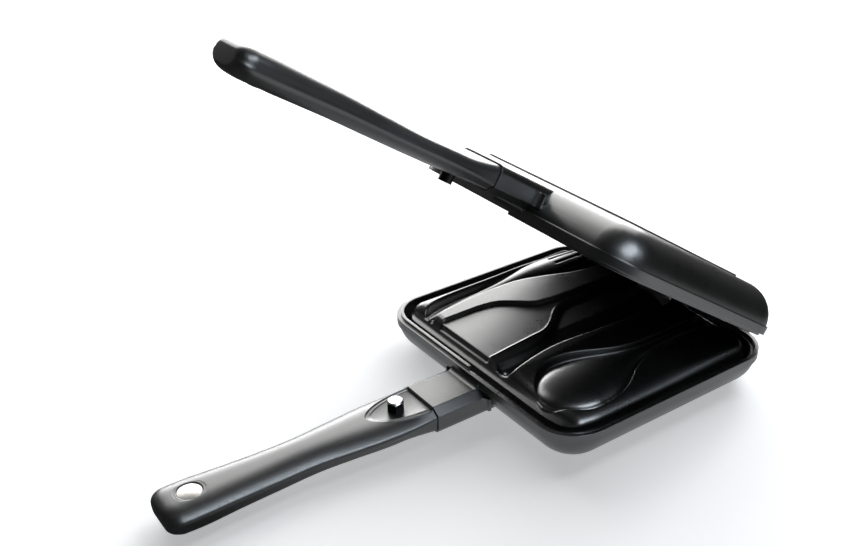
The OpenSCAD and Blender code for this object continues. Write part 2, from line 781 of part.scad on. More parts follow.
module along_y(y1, y2) {
    translate([hinge_x, y2, rim_z]) rotate([90, 0, 0]) linear_extrude(y2 - y1) children();
}

module hinge_pins() {
    color(steel) for (hy = [-hinge_y, hinge_y]) {
        along_y(hy - pin_half_len, hy + pin_half_len) circle(pin_r);
        for (s = [-1, 1]) {
            mid = hy + s * (pin_half_len + pin_head_h / 2);
            along_y(mid - pin_head_h / 2, mid + pin_head_h / 2) circle(pin_head_r);
        }
    }
}

module hinge_washers() {
    color(steel) for (hy = [-hinge_y, hinge_y], s = [-1, 1]) {
        mid = hy + s * (knuckle_len + side_gap) / 2;
        along_y(mid - washer_t / 2, mid + washer_t / 2) difference() {
            circle(knuckle_r - 0.6);
            circle(pin_r + pin_clearance);
        }
    }
}

lower_pan();
lower_mold_plate();
lower_plate_screws();
lower_foot_plate();
lower_tang();
lower_neck_gasket();
lower_grip();
catch_screw();
lower_end_screw();
hinge_pins();
hinge_washers();
upper_pan();
upper_mold_plate();
upper_plate_screws();
upper_foot_plate();
upper_tang();
upper_neck_gasket();
upper_grip();
magnet_holder();
catch_magnet();
upper_end_screw();
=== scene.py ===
"""Looks of the hinged pie iron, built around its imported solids.

Lengths are in millimetres until they reach a mesh, where MM turns them into metres.
The lower half lies at rest; the upper half is drawn like a lower one, turned over and swung open.
"""
import math

import bpy
import numpy as np
from mathutils import Matrix, Vector

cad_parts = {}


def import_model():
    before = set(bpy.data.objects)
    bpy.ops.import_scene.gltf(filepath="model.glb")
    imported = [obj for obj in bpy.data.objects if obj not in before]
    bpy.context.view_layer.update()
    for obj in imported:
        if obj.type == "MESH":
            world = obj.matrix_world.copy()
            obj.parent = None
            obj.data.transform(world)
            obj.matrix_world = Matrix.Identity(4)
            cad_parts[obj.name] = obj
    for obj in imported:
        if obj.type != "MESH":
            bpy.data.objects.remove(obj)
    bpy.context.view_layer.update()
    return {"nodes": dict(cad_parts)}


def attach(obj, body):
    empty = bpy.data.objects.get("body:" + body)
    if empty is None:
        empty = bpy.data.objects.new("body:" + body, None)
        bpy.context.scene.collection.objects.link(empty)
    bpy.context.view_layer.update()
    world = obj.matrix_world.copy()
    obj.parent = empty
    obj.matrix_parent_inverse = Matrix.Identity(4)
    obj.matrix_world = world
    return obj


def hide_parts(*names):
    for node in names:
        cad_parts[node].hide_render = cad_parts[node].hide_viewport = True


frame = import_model()

MM = 0.001

# ---- sizes that follow the solids ----

RIM_Z = 24.0
HINGE_X = 85.2
REST_ANGLE = 34.0

# The grip, the screw heads on it and the leaf shaped recess round the catch
GRIP_START, GRIP_LEN = -111.8, 154.0
CATCH_X, END_SCREW_X = -127.4, -248.5
END_SCREW_R, HEAD_GAP, END_FACE = 6.3, 0.3, 19.0
SHANK_R, SHANK_GAP = 2.4, 0.1
LEAF_FLOOR, LEAF_STEP_H, LEAF_TOP = 17.45, 0.5, 18.6
LEAF_TILT, LEAF_SAG = 0.014, 0.8
LEAF_LEN, LEAF_HALF_W, LEAF_RIDGE_W, LEAF_STEP_W = 36.0, 14.2, 1.1, 2.2
LEAF_END_GAP = 0.02

# The relief plate: its raised block and the flange round it
BLOCK_HALF, BLOCK_R = (70.0, 79.0), 11.0
FLANGE_HALF, FLANGE_R = (73.46, 82.46), 17.46
PLATE_BASE, FLANGE_TOP = 13.0, 16.0
BANK_H = 5.5


# ---- small helpers ----

def smooth(t):
    """Smooth step from 0 at t = 0 to 1 at t = 1."""
    t = np.clip(t, 0.0, 1.0)
    return t * t * (3 - 2 * t)


def through(stations, x):
    """Smooth curve through (place, value) stations, flat beyond its ends."""
    places, values = np.array(stations, float).T
    slopes = np.gradient(values, places)
    x = np.clip(np.asarray(x, float), places[0], places[-1])
    k = np.clip(np.searchsorted(places, x, side="right") - 1, 0, len(places) - 2)
    step = places[k + 1] - places[k]
    t = (x - places[k]) / step
    rest = 1 - t
    return (values[k] * rest ** 2 * (1 + 2 * t) + slopes[k] * step * t * rest ** 2
            + values[k + 1] * t ** 2 * (3 - 2 * t) - slopes[k + 1] * step * t ** 2 * rest)


def soft_min(a, b, width):
    """Lower of two heights, blended over width."""
    h = np.clip(0.5 + 0.5 * (b - a) / width, 0, 1)
    return b + (a - b) * h - width * h * (1 - h)


def soft_max(a, b, width):
    """Higher of two heights, blended over width."""
    return -soft_min(-a, -b, width)


def closed_curve(points, steps=10):
    """Round closed outline through points, as a dense ring of points."""
    p = np.array(points, float)
    before, after, later = np.roll(p, 1, 0), np.roll(p, -1, 0), np.roll(p, -2, 0)
    ring = []
    for t in np.arange(steps) / steps:
        ring.append(0.5 * (2 * p + (after - before) * t
                           + (2 * before - 5 * p + 4 * after - later) * t ** 2
                           + (3 * p - before - 3 * after + later) * t ** 3))
    return np.stack(ring, 1).reshape(-1, 2)


def distance_inside(x, y, ring):
    """Distance from each point to a closed outline, positive inside it."""
    best = np.full(x.shape, 1e9)
    inside = np.zeros(x.shape, bool)
    for (ax, ay), (bx, by) in zip(ring, np.roll(ring, -1, 0)):
        dx, dy = bx - ax, by - ay
        t = np.clip(((x - ax) * dx + (y - ay) * dy) / (dx * dx + dy * dy + 1e-12), 0, 1)
        best = np.minimum(best, (x - ax - t * dx) ** 2 + (y - ay - t * dy) ** 2)
        if ay != by:
            crosses = (ay > y) != (by > y)
            inside ^= crosses & (x < ax + (y - ay) * dx / dy)
    return np.where(inside, 1, -1) * np.sqrt(best)


def linked(name, points, faces):
    """Object with a new mesh of points in millimetres, linked to the scene."""
    mesh = bpy.data.meshes.new(name)
    mesh.from_pydata((np.asarray(points, float) * MM).tolist(), [], faces)
    piece = bpy.data.objects.new(name, mesh)
    bpy.context.scene.collection.objects.link(piece)
    return piece


def shade_smooth(mesh):
    """Marks all faces of a mesh as smooth."""
    mesh.polygons.foreach_set("use_smooth", [True] * len(mesh.polygons))


def dress(piece, material, body, node):
    """Gives a piece its one material, the body it rides on and the node it stands for."""
    piece.data.materials.clear()
    piece.data.materials.append(material)
    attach(piece, body)
    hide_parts(node)


def level_way(azimuth):
    """Level direction at an azimuth in degrees."""
    return (math.cos(math.radians(azimuth)), math.sin(math.radians(azimuth)), 0.0)


def upper_half(points):
    """Turns points of a lower half over and swings them open about the hinge."""
    a = math.radians(REST_ANGLE)
    x, y, z = points[:, 0] - HINGE_X, -points[:, 1], RIM_Z - points[:, 2]
    return np.stack([HINGE_X + x * math.cos(a) + z * math.sin(a), y,
                     RIM_Z - x * math.sin(a) + z * math.cos(a)], 1)


def lathe_rings(count, size):
    """Faces of a tube of count rings, each of size points."""
    faces = []
    for j in range(count - 1):
        for k in range(size):
            a, b = j * size + k, j * size + (k + 1) % size
            faces.append((a, b, b + size, a + size))
    return faces


# ---- materials ----

class Nodes:
    """Node tree with short calls to add and join nodes."""

    def __init__(self, tree):
        self.tree = tree

    def add(self, kind, **values):
        """New node; each value goes to the setting or the socket of that name."""
        node = self.tree.nodes.new(kind)
        for key, value in values.items():
            if hasattr(node, key):
                setattr(node, key, value)
            else:
                node.inputs[key.replace("_", " ")].default_value = value
        return node

    def join(self, source, node, socket):
        """Joins an output to a socket of a node."""
        self.tree.links.new(source, node.inputs[socket])

    def spread(self, value, low, high, start=0.3, end=0.7, kind="LINEAR"):
        """Number from low to high as value goes from start to end."""
        node = self.add("ShaderNodeMapRange", interpolation_type=kind)
        limits = {"From Min": start, "From Max": end, "To Min": low, "To Max": high}
        for key, number in limits.items():
            node.inputs[key].default_value = number
        self.join(value, node, "Value")
        return node.outputs["Result"]

    def maths(self, operation, first, second):
        """Result of an operation on two outputs."""
        node = self.add("ShaderNodeMath", operation=operation)
        self.join(first, node, 0)
        self.join(second, node, 1)
        return node.outputs[0]

    def along(self, vector, azimuth):
        """Length of a vector along a level direction."""
        node = self.add("ShaderNodeVectorMath", operation="DOT_PRODUCT")
        node.inputs[1].default_value = level_way(azimuth)
        self.join(vector, node, 0)
        return node.outputs["Value"]


class Material(Nodes):
    """Node tree of one surface material."""

    def __init__(self, name, **sockets):
        self.material = bpy.data.materials.new(name)
        self.material.use_nodes = True
        super().__init__(self.material.node_tree)
        self.shader = self.tree.nodes["Principled BSDF"]
        for key, value in sockets.items():
            self.shader.inputs[key].default_value = value
        self.place = self.add("ShaderNodeTexCoord").outputs["Object"]

    def feed(self, socket, source):
        """Joins an output to a socket of the surface shader."""
        self.join(source, self.shader, socket)

    def noise(self, size, detail=3.0, stretch=None):
        """Noise whose cells are about size millimetres across."""
        node = self.add("ShaderNodeTexNoise", Scale=1 / (size * MM), Detail=detail,
                        Roughness=NOISE_ROUGHNESS)
        place = self.place
        if stretch:
            mapping = self.add("ShaderNodeMapping", Scale=stretch)
            self.join(place, mapping, "Vector")
            place = mapping.outputs["Vector"]
        self.join(place, node, "Vector")
        return node.outputs["Fac"]

    def colours(self, factor, first, second):
        """Colour from first to second as factor goes from 0 to 1."""
        node = self.add("ShaderNodeMix", data_type="RGBA")
        for socket, colour in ((6, first), (7, second)):
            if isinstance(colour, tuple):
                node.inputs[socket].default_value = (*colour, 1)
            else:
                self.join(colour, node, socket)
        self.join(factor, node, 0)
        return node.outputs[2]

    def mottle(self, size, detail, dark, light):
        """Base colour in soft clouds of two colours."""
        clouds = self.spread(self.noise(size, detail), 0, 1)
        self.feed("Base Color", self.colours(clouds, dark, light))

    def bumps(self, height, strength, depth, normal=None):
        """Bump whose full height is depth millimetres."""
        node = self.add("ShaderNodeBump", Strength=strength, Distance=depth * MM)
        self.join(height, node, "Height")
        if normal:
            self.join(normal, node, "Normal")
        self.feed("Normal", node.outputs["Normal"])

    def round_edges(self, radius):
        """Normal that rounds edges to a radius in millimetres."""
        return self.add("ShaderNodeBevel", samples=6, Radius=radius * MM).outputs["Normal"]

    def edge_wear(self, radius):
        """1 on convex and concave edges, 0 on flat ground."""
        dot = self.add("ShaderNodeVectorMath", operation="DOT_PRODUCT")
        self.join(self.round_edges(radius), dot, 0)
        self.join(self.add("ShaderNodeNewGeometry").outputs["Normal"], dot, 1)
        return self.spread(dot.outputs["Value"], 1.0, 0.0, *WEAR_TURN)

    def glow(self, strength, colour):
        """Emission of a plain strength and colour."""
        node = self.add("ShaderNodeEmission", Strength=strength)
        node.inputs["Color"].default_value = (*colour, 1)
        return node

    def mixed(self, factor, first, second):
        """Shader from first to second; the factor is a number or an output."""
        node = self.add("ShaderNodeMixShader")
        if isinstance(factor, float):
            node.inputs[0].default_value = factor
        else:
            self.join(factor, node, 0)
        self.join(first, node, 1)
        self.join(second, node, 2)
        return node.outputs[0]


NOISE_ROUGHNESS = 0.55
# Dot product of the rounded and the true normal, on a worn edge and on flat ground
WEAR_TURN = (0.9, 0.995)
WORN_COLOUR = (0.06, 0.06, 0.062)
COATING_IOR, PLASTIC_IOR = 2.1, 1.9
PLASTIC_DARK, PLASTIC_LIGHT = (0.026, 0.026, 0.027), (0.036, 0.036, 0.038)
HEAD_DARK, HEAD_LIGHT = (0.52, 0.50, 0.48), (0.60, 0.58, 0.56)
# The catch screw's blackened sides, and the bright steel painted on its up-facing faces as a
# painted highlight
BLACKENED, PAINTED_HIGHLIGHT_STEEL = (0.03, 0.03, 0.032), (0.62, 0.62, 0.62)
RUBBER_DARK, RUBBER_LIGHT = (0.008, 0.008, 0.008), (0.016, 0.016, 0.016)
# How bare steel brightens in spots, and how its marks change the roughness
STEEL_BRIGHTER, STEEL_ROUGHNESS = 1.12, (-0.05, 0.07)
MARK_SIZE, STEEL_EDGE = 0.3, 0.3


def coated_cast(name, dark, light, satin, grain, grain_depth):
    """Cast metal under a dark coating: fine grain, faint clouds, and paler worn edges."""
    m = Material(name, IOR=COATING_IOR)
    clouds = m.noise(22, 4)
    fine = m.noise(grain, 2)
    colour = m.colours(m.spread(clouds, 0, 1), dark, light)
    wear = m.maths("MULTIPLY", m.edge_wear(0.7), m.spread(m.noise(5, 4), 0.0, 0.55, 0.45, 0.75))
    m.feed("Base Color", m.colours(wear, colour, WORN_COLOUR))
    m.feed("Roughness", m.maths("ADD", m.spread(clouds, satin - 0.03, satin + 0.03),
                                m.spread(m.noise(grain * 1.6, 1), -0.03, 0.03)))
    m.bumps(fine, 0.4, grain_depth, m.round_edges(0.8))
    return m.material


def moulded_plastic(name):
    """Dark heat-proof plastic with a fine leathery texture."""
    m = Material(name, IOR=PLASTIC_IOR)
    m.mottle(30, 3, PLASTIC_DARK, PLASTIC_LIGHT)
    m.feed("Roughness", m.spread(m.noise(0.9, 2), 0.30, 0.44))
    m.bumps(m.noise(0.6, 2), 0.5, 0.05, m.round_edges(0.35))
    return m.material


def turned_steel(name, colour, roughness, stretch, depth):
    """Bare steel with fine marks along one direction."""
    m = Material(name, Metallic=1.0)
    marks = m.noise(MARK_SIZE, 2, stretch=stretch)
    m.mottle(3, 3, colour, tuple(min(1.0, c * STEEL_BRIGHTER) for c in colour))
    less, more = STEEL_ROUGHNESS
    m.feed("Roughness", m.spread(marks, roughness + less, roughness + more))
    m.bumps(marks, 0.35, depth, m.round_edges(STEEL_EDGE))
    return m.material


def plated_head(name, centre_x):
    """Bright plated screw head: rings of turning round its centre."""
    m = Material(name, Metallic=1.0)
    mapping = m.add("ShaderNodeMapping", Location=(-centre_x * MM, 0, 0))
    m.join(m.place, mapping, "Vector")
    rings = m.add("ShaderNodeTexWave", wave_type="RINGS", rings_direction="Z",
                  Scale=160.0, Distortion=1.5, Detail=2.0)
    m.join(mapping.outputs["Vector"], rings, "Vector")
    m.mottle(2, 3, HEAD_DARK, HEAD_LIGHT)
    m.feed("Roughness", m.spread(rings.outputs["Fac"], 0.34, 0.42, 0, 1))
    m.bumps(rings.outputs["Fac"], 0.2, 0.006)
    return m.material


def hexagon_with_painted_highlight(name):
    """Blackened screw head whose up-facing top face and bevels are painted bright steel, a painted
    highlight.
    """
    m = Material(name, Metallic=1.0)
    split = m.add("ShaderNodeSeparateXYZ")
    m.join(m.add("ShaderNodeNewGeometry").outputs["Normal"], split, 0)
    # Faces that point up in the world get the bright steel colour: a painted highlight set by which
    # way they face
    painted_highlight = m.spread(split.outputs["Z"], 0, 1, 0.3, 0.5)
    marks = m.noise(MARK_SIZE, 2, stretch=(1, 1, 6))
    m.feed("Base Color", m.colours(painted_highlight, BLACKENED, PAINTED_HIGHLIGHT_STEEL))
    m.feed("Roughness", m.spread(marks, 0.22, 0.34))
    m.bumps(marks, 0.35, 0.006, m.round_edges(STEEL_EDGE))
    return m.material


def black_rubber(name):
    """Matt black rubber with a fine grain."""
    m = Material(name, Roughness=0.8)
    m.mottle(4, 3, RUBBER_DARK, RUBBER_LIGHT)
    m.bumps(m.noise(0.3, 2), 0.4, 0.02)
    return m.material


CAST = coated_cast("cast_coating", (0.0045, 0.0045, 0.004), (0.0075, 0.0075, 0.007),
                   satin=0.32, grain=0.55, grain_depth=0.022)
PLATE = coated_cast("plate_coating", (0.004, 0.004, 0.004), (0.007, 0.007, 0.0065),
                    satin=0.31, grain=0.45, grain_depth=0.022)
FOOT = coated_cast("foot_coating", (0.005, 0.005, 0.005), (0.008, 0.008, 0.008),
                   satin=0.38, grain=0.30, grain_depth=0.010)
GRIP = moulded_plastic("grip_plastic")
STEEL = turned_steel("plain_steel", (0.50, 0.50, 0.51), 0.32, (1, 1, 8), 0.01)
# Catch screw head, with a painted highlight on its up-facing faces
HEX_WITH_PAINTED_HIGHLIGHT = hexagon_with_painted_highlight("hex_steel_painted_highlight")
BLACK_STEEL = turned_steel("black_steel", (0.035, 0.035, 0.037), 0.34, (1, 1, 8), 0.01)
END_HEAD = plated_head("lower_head_steel", END_SCREW_X)
RUBBER = black_rubber("gasket_rubber")

NODE_MATERIALS = {
    "lower_pan": CAST, "upper_pan": CAST,
    "lower_mold_plate": PLATE, "upper_mold_plate": PLATE,
    "lower_foot_plate": FOOT, "upper_foot_plate": FOOT,
    "lower_plate_screws": STEEL, "upper_plate_screws": STEEL,
    "hinge_pins": BLACK_STEEL, "hinge_washers": STEEL,
    "lower_tang": STEEL, "upper_tang": STEEL,
    "lower_grip": GRIP, "upper_grip": GRIP,
    "lower_neck_gasket": RUBBER, "upper_neck_gasket": RUBBER,
    "catch_screw": HEX_WITH_PAINTED_HIGHLIGHT, "magnet_holder": BLACK_STEEL, "catch_magnet": STEEL,
    "lower_end_screw": END_HEAD, "upper_end_screw": END_HEAD,
}


def finish_nodes():
    """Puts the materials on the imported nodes."""
    for name, material in NODE_MATERIALS.items():
        node = frame["nodes"][name]
        for slot in node.material_slots:
            slot.material = material
        if not node.material_slots:
            raise RuntimeError("node without a material slot: " + name)


# ---- relief of the lower plate ----
# Heights are above the rim plane. X runs from the handle to the hinges.

FLOOR_H = -0.5
PANEL_H = 3.0

# The raised block's top: its fall towards the near side, the share of its height that is left
# off towards the left side, and the round shoulder that runs down to its edge
NEAR_CREST_Y = -18.0
FALL_NEAR = [(0, 0), (4, 0.2), (8, 0.9), (14, 1.9), (25, 2.7), (40, 3.1), (60, 3.9)]
LEFT_FALL_X, LEFT_RISE = -60.0, 0.3
LEFT_SHARE = [(0, 0), (2, 0.10), (4, 0.32), (6, 0.56), (8, 0.80), (10, 1)]
EDGE_H = -3.0
EDGE_RUN = [(-79, 10), (-30, 8), (30, 8), (79, 11)]
RUN_LOSS, RUN_LOSS_X, RUN_LOSS_LEN = 0.6, -10.0, 70.0
CORNER_PULL, PULL_REACH = 2.2, 24.0

# Lines seen from above, as (x, y): the fork's recess and the panel
BACK_CREST = [(-69, 63), (-62, 66.5), (-54, 69.5), (-38, 72), (-18, 73), (11, 75), (30, 78),
              (66, 79)]
BANK_FAR = [(-69, 52.5), (-58, 55), (-34, 58.5), (-14, 59.5), (5, 58.5), (21, 53.5), (40, 46),
            (66, 42)]
BANK_CREST = [(-69, 49.5), (-43, 49.5), (-30, 49.5), (-20, 48.5), (-9, 42), (-2, 36), (9, 33),
              (21, 32), (66, 31)]
PANEL_FAR = [(-69, 46.5), (-44, 46.5), (-32, 46), (-23, 43.5), (-14, 36.5), (-6, 29.5), (4, 27),
             (20, 26.5), (66, 26)]
PANEL_NEAR = [(-69, -2.5), (-60, -1.5), (-48, 0), (-30, 2), (-17, 4), (-9, 9), (-1, 16), (9, 22),
              (20, 23), (66, 22.5)]

# The panel's fine lip, its walls, the strip before its near edge, and the groove at its left end
LIP_H, LIP_AT, LIP_HALF_W = 0.35, 0.6, 0.55
PANEL_WALL_H, PANEL_BLEND = 20.0, 0.8
STRIP_TILT, STRIP_REACH = 0.25, 30.0
STRIP_WALL_H, STRIP_WALL_AT, STRIP_WALL_RUN = 40.0, 9.0, 12.0
PANEL_LEFT, MARGIN_DROP, MARGIN_RUN, MARGIN_MIN_H = -64.0, 0.6, 0.7, 2.0
GROOVE_X, GROOVE_HALF_W, GROOVE_DEPTH, GROOVE_END_RUN = -64.6, 1.2, 1.7, 1.5
FORK_LEFT = -67.0
# Runs of the fork recess's walls at the back, at the bank and at its left end
FORK_WALLS = (3.6, 2.2, 3.0)

# The fork: middle line, half width and height above the floor, round left end, and slots
FORK_MID = [(-66, 57.5), (-43, 62), (-21, 64.5), (-5, 65.5), (8, 66), (20, 66), (35, 64.5),
            (66, 62)]
FORK_HALF = [(-66, 2.6), (-43, 3.0), (-21, 3.4), (-5, 4.2), (8, 6), (20, 9), (32, 12),
             (45, 13.5), (66, 13)]
FORK_RISE = [(-66, 2.4), (-43, 2.8), (-5, 3.6), (8, 4.8), (20, 5.8), (32, 6.3), (66, 6.0)]
FORK_END_X, FORK_END_RUN = -62.0, 4.0
FORK_CLEAR, FORK_BLEND = 0.2, 0.4
SLOT_FROM, SLOT_TO = 40.0, 63.0
SLOT_Y = (55.0, 62.0, 69.0)
SLOT_W, SLOT_SOFT = 2.2, 0.3

# The knife's recess runs to the left in a round loop
KNIFE_RING = [(-64.5, -8), (-58.5, -6.4), (-46, -6), (-34, -4), (-22, 0), (-12, 5), (-4, 11),
              (4, 17.5), (12, 20.5), (30, 20.5), (65, 20), (66.5, -18), (30, -19), (3, -18),
              (-15, -16.5), (-30, -16.5), (-44, -18.5), (-55, -21), (-62, -22.5), (-66, -20),
              (-67, -14)]
KNIFE_FLOOR_H, KNIFE_WALL_RUN = -3.2, 4.5
KNIFE_TILT, KNIFE_TILT_Y, KNIFE_TILT_RUN = 0.24, -14.0, 16.0
DIMPLE_AT, DIMPLE_R, DIMPLE_DEPTH, DIMPLE_STEEP = (-61.5, -14.0), 2.6, 1.3, 1.6

# The spoon's recess, and the egg shaped dome that stands in it
SPOON_RING = [(-67.5, -50), (-60, -38), (-51, -29.5), (-41, -25), (-30, -25), (-18, -28),
              (5, -36.5), (24, -39), (63, -39.5), (64, -46), (63, -52), (28, -52), (10, -54),
              (-2, -58.5), (-17, -68), (-30, -72.5), (-42, -74), (-53, -71.5), (-62, -65),
              (-67, -58)]
SPOON_FLOOR_H, SPOON_WALL_RUN = -1.0, 2.0
SPOON_CLEAR, SPOON_BLEND = 0.8, 0.5
DOME_MID = [(-40, -50), (-25, -49.5), (-10, -48), (4, -46.5), (16, -46), (66, -45.5)]
DOME_HALF = [(-40, 21.2), (-25, 19.2), (-10, 12.6), (4, 6.8), (16, 4.6), (66, 4.4)]
DOME_RISE = [(-40, 6.4), (-20, 5.9), (-5, 4.9), (10, 4.1), (66, 3.9)]
DOME_LEFT_X, DOME_LEFT_RUN = -40.0, 24.0

# Heights above and below all of the relief, for where a form is absent
OVER_ALL, UNDER_ALL = 99.0, -9.0


def plate_outline_inset(x, y):
    """Distance of a point from the block's outline, seen from above, positive inside."""
    qx = np.abs(x) - (BLOCK_HALF[0] - BLOCK_R)
    qy = np.abs(y) - (BLOCK_HALF[1] - BLOCK_R)
    outside = np.hypot(np.maximum(qx, 0), np.maximum(qy, 0))
    return BLOCK_R - outside - np.minimum(np.maximum(qx, qy), 0)


def crown(x, y, mid, half, rise, left_at, left_run):
    """Round ridge along X, closed at its left end like an ellipsoid."""
    across = (y - through(mid, x)) / through(half, x)
    along = np.clip((left_at - x) / left_run, 0, None)
    return through(rise, x) * np.sqrt(np.clip(1 - across ** 2 - along ** 2, 0, 1))


def bank(x, y):
    """Top of the raised block without its moulds."""
    height = BANK_H - through(FALL_NEAR, NEAR_CREST_Y - y)
    height = height - (height - EDGE_H - LEFT_RISE) * through(LEFT_SHARE, LEFT_FALL_X - x)
    run = through(EDGE_RUN, y) * (1 - RUN_LOSS * smooth((x - RUN_LOSS_X) / RUN_LOSS_LEN))
    s = np.clip(1 - plate_outline_inset(x, y) / run, 0, 1)
    return height - (height - EDGE_H) * (1 - np.sqrt(1 - s ** 2))


def with_panel(top, x, y):
    """Flat panel with a fine lip along its near edge and a step down at its left end."""
    near, far = through(PANEL_NEAR, x), through(PANEL_FAR, x)
    far_wall = (y - far) / (through(BANK_CREST, x) - far)
    from_edge = y - near
    lip = LIP_H * np.exp(-((from_edge - LIP_AT) / LIP_HALF_W) ** 2)
    panel = PANEL_H + lip + PANEL_WALL_H * smooth(far_wall)
    strip = (PANEL_H - STRIP_TILT * np.clip(-from_edge, 0, STRIP_REACH)
             + STRIP_WALL_H * smooth((-from_edge - STRIP_WALL_AT) / STRIP_WALL_RUN))
    base = soft_min(top, np.where(from_edge > 0, panel, strip), PANEL_BLEND)
    margin = smooth((PANEL_LEFT - x) / MARGIN_RUN) * smooth((base - EDGE_H) / MARGIN_MIN_H)
    base = base - MARGIN_DROP * margin
    along = smooth((y - near) / GROOVE_END_RUN) * smooth((far - y) / GROOVE_END_RUN)
    return base - GROOVE_DEPTH * along * smooth(1 - np.abs(x - GROOVE_X) / GROOVE_HALF_W)


def with_fork(base, top, x, y):
    """Fork recess, cut from the block's top, and the fork in it with its slots."""
    back_run, bank_run, end_run = FORK_WALLS
    to_back = through(BACK_CREST, x) - y
    to_bank = y - through(BANK_FAR, x)
    inside = np.minimum(to_back / back_run, to_bank / bank_run)
    inside = np.minimum(inside, (x - FORK_LEFT) / end_run)
    floor_h = top - (top - FLOOR_H) * smooth(inside)
    base = np.minimum(base, np.where(inside > 0, floor_h, OVER_ALL))
    fork = FLOOR_H + crown(x, y, FORK_MID, FORK_HALF, FORK_RISE, FORK_END_X, FORK_END_RUN)
    slots = np.zeros(x.shape)
    for slot_y in SLOT_Y:
        beside = np.hypot(np.clip(SLOT_FROM - x, 0, None), y - slot_y) - SLOT_W / 2
        slots = np.maximum(slots, smooth(SLOT_SOFT - beside) * (x < SLOT_TO))
    fork = fork - slots * (fork - FLOOR_H)
    fork = np.where(inside > FORK_CLEAR, fork, UNDER_ALL)
    return np.where(inside > 0, soft_max(base, fork, FORK_BLEND), base)


def with_knife(base, x, y):
    """Knife recess with its dimple."""
    inside = distance_inside(x, y, closed_curve(KNIFE_RING))
    floor_h = KNIFE_FLOOR_H + KNIFE_TILT * np.clip(y - KNIFE_TILT_Y, 0, KNIFE_TILT_RUN)
    base = base - np.clip(base - floor_h, 0, None) * smooth(inside / KNIFE_WALL_RUN)
    dimple = 1 - np.hypot(x - DIMPLE_AT[0], y - DIMPLE_AT[1]) / DIMPLE_R
    return base - DIMPLE_DEPTH * smooth(dimple * DIMPLE_STEEP)


def with_spoon(base, x, y):
    """Spoon recess and the spoon in it."""
    inside = distance_inside(x, y, closed_curve(SPOON_RING))
    floor_h = base - (base - SPOON_FLOOR_H) * smooth(inside / SPOON_WALL_RUN)
    spoon = SPOON_FLOOR_H + crown(x, y, DOME_MID, DOME_HALF, DOME_RISE, DOME_LEFT_X, DOME_LEFT_RUN)
    spoon = np.where(inside > SPOON_CLEAR, spoon, UNDER_ALL)
    return np.where(inside > 0, soft_max(floor_h, spoon, SPOON_BLEND), base)


def relief(x, y):
    """Height of the relief above the rim plane."""
    top = bank(x, y)
    base = with_fork(with_panel(top, x, y), top, x, y)
    return with_spoon(with_knife(base, x, y), x, y)


# Rings up the flange and the foot of the block as (inset, height), then insets over its top
FLANGE_RINGS = [(0, PLATE_BASE), (0, FLANGE_TOP - 0.5), (0.15, FLANGE_TOP - 0.12),
                (0.5, FLANGE_TOP)]
SKIRT_RINGS = [(-1.2, FLANGE_TOP), (-0.7, FLANGE_TOP + 0.15), (-0.3, FLANGE_TOP + 0.6),
               (-0.05, FLANGE_TOP + 1.4), (0.0, 18.6), (0.0, 20.0)]
TOP_INSETS = [0.0, 0.03, 0.1, 0.2, 0.35, 0.55, 0.8, 1.1] + [1.5 + 0.45 * k for k in range(21)]
SIDE_CELLS = (230, 260)
CORNER_CELLS = 14


def plate_ring(inset, half=BLOCK_HALF, corner_r=BLOCK_R):
    """Points of a rounded rectangle at an inset from its outline."""
    cx, cy = half[0] - corner_r, half[1] - corner_r
    r = corner_r - inset
    nx, ny = SIDE_CELLS
    points = []
    corners = ((cx, cy, 0), (-cx, cy, 90), (-cx, -cy, 180), (cx, -cy, 270))
    for k, (px, py, start) in enumerate(corners):
        for j in range(CORNER_CELLS + 1):
            a = math.radians(start + 90 * j / CORNER_CELLS)
            points.append((px + r * math.cos(a), py + r * math.sin(a)))
        qx, qy, _ = corners[(k + 1) % 4]
        a = math.radians(start + 90)
        cells = nx if py == qy else ny
        for j in range(1, cells):
            t = j / cells
            points.append((px + (qx - px) * t + r * math.cos(a),
                           py + (qy - py) * t + r * math.sin(a)))
    return np.array(points)


